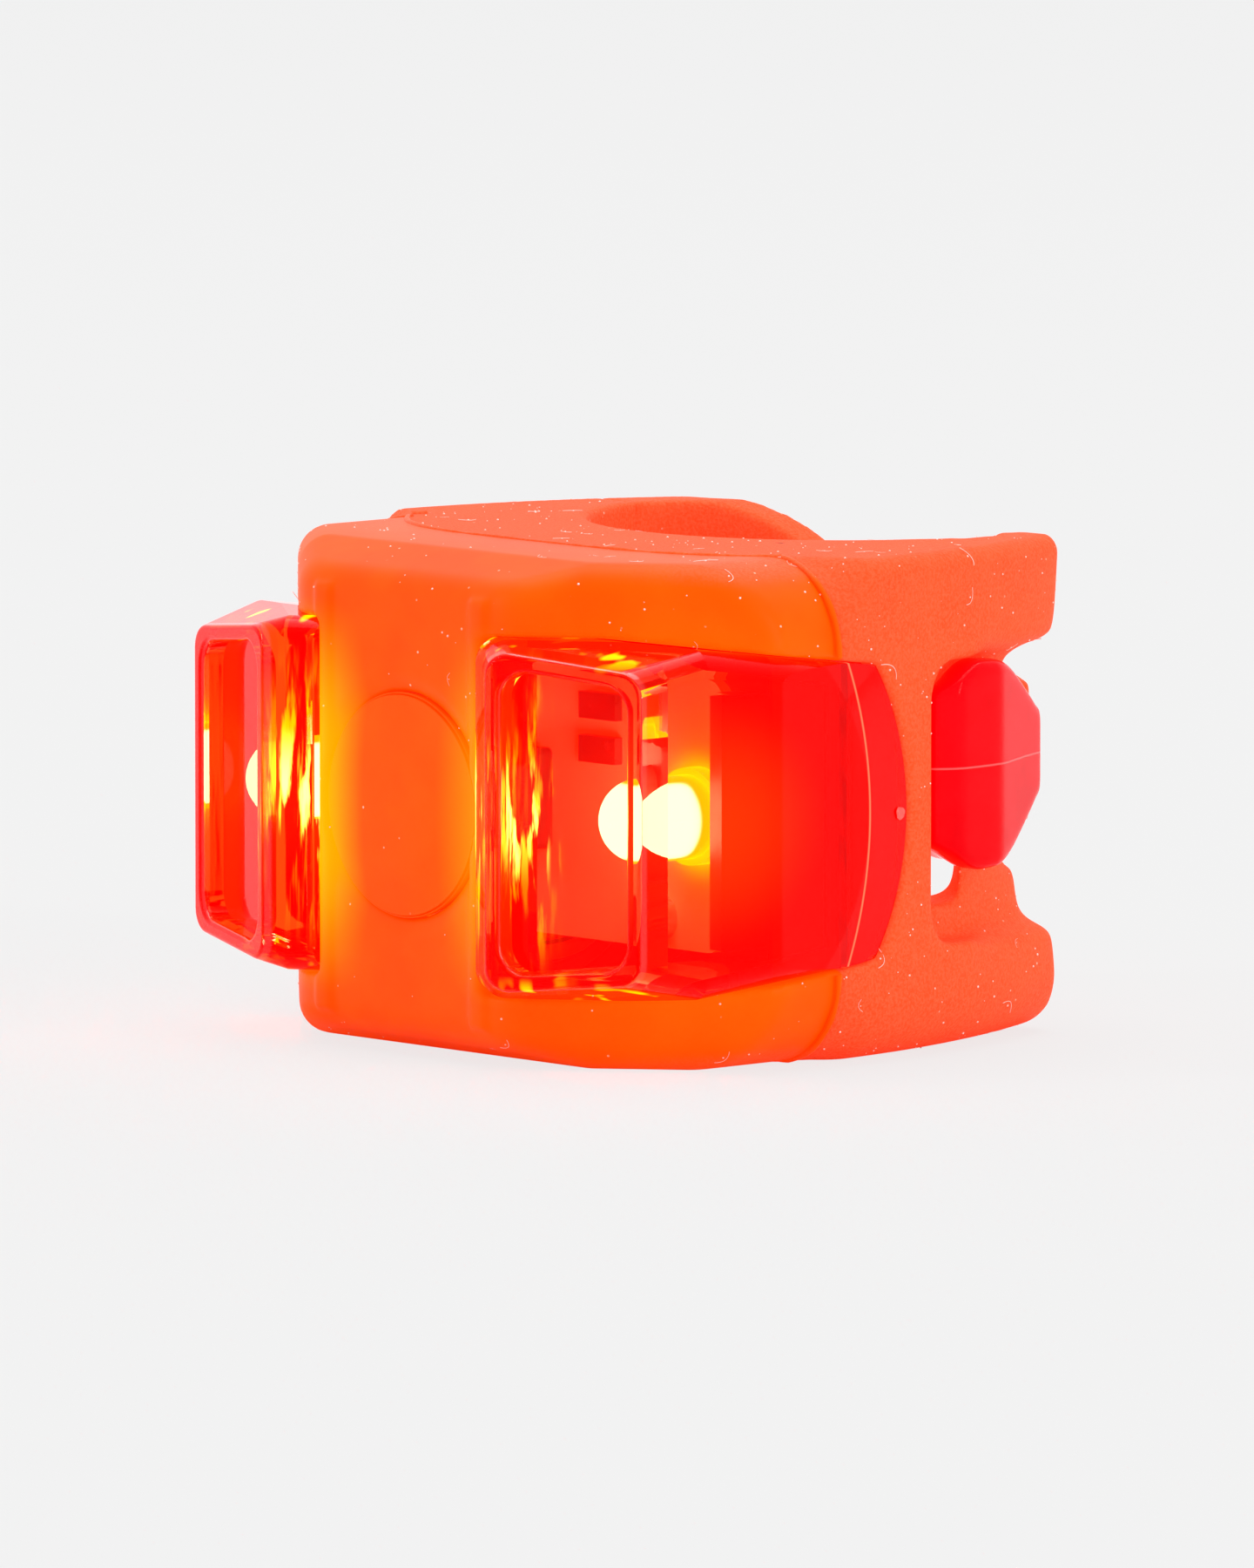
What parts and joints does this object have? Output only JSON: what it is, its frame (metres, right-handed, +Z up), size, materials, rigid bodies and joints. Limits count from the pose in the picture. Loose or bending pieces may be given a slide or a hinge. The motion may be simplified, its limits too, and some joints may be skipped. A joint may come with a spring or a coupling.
{
  "type": "bicycle tail light",
  "caption": "Rear bicycle light: a red lens capsule in a soft silicone jacket with a push button, a strap that wraps a tube and a plastic hook.",
  "frame": {"origin": "under the middle of the whole light, at the height of its lower end", "axes": "+X across the light towards the hook, +Y from the button face back to the strap, +Z up along the bicycle's tube"},
  "size_m": [0.0436, 0.0442, 0.03],
  "materials": {
    "silicone": "satin, orange-red and slightly see-through silicone",
    "hook_plastic": "gloss, opaque red",
    "lens_plastic": "clear red, polished",
    "shell_plastic": "opaque red",
    "seal_rubber": "matt red",
    "board_laminate": "white solder mask",
    "screw_steel": "zinc plated",
    "diode_epoxy": "clear epoxy, lit",
    "tinned_wire": "tinned",
    "switch_plastic": "matt black",
    "plunger_plastic": "off-white",
    "chip_epoxy": "matt black",
    "resistor_ceramic": "black glaze",
    "cell_steel": "nickel plated",
    "gasket_plastic": "dark nylon",
    "contact_brass": "bright"
  },
  "bodies": {
    "light": {"silicone_body": "silicone", "hook_ear": "silicone", "lens_shell": "lens_plastic", "rear_shell": "shell_plastic", "shell_seal": "seal_rubber", "circuit_board": "board_laminate", "board_screws": "screw_steel", "led_left": "diode_epoxy", "led_right": "diode_epoxy", "led_leads": "tinned_wire", "switch_body": "switch_plastic", "controller_chip": "chip_epoxy", "chip_legs": "tinned_wire", "resistors": "resistor_ceramic", "front_cell_can": "cell_steel", "front_cell_cap": "cell_steel", "rear_cell_can": "cell_steel", "rear_cell_cap": "cell_steel", "cell_gaskets": "gasket_plastic", "negative_contact": "contact_brass", "positive_contact": "contact_brass"},
    "button": {"button_dome": "silicone", "switch_plunger": "plunger_plastic"},
    "strap": {"strap": "silicone", "strap_hook": "hook_plastic"}
  },
  "joints": [
    {"name": "button_press", "type": "slide", "parent": "light", "child": "button", "axis": [0, 1, 0], "range_m": [0, 0.0005], "stiffness_N_per_m": 2000},
    {"name": "strap_swing", "type": "hinge", "parent": "light", "child": "strap", "pos_m": [-0.017, 0.0121, 0.015], "axis": [0, 0, 1], "range_deg": [0, 70], "stiffness_Nm_per_rad": 0.01, "deforming": ["strap", "hook_ear"]}
  ]
}
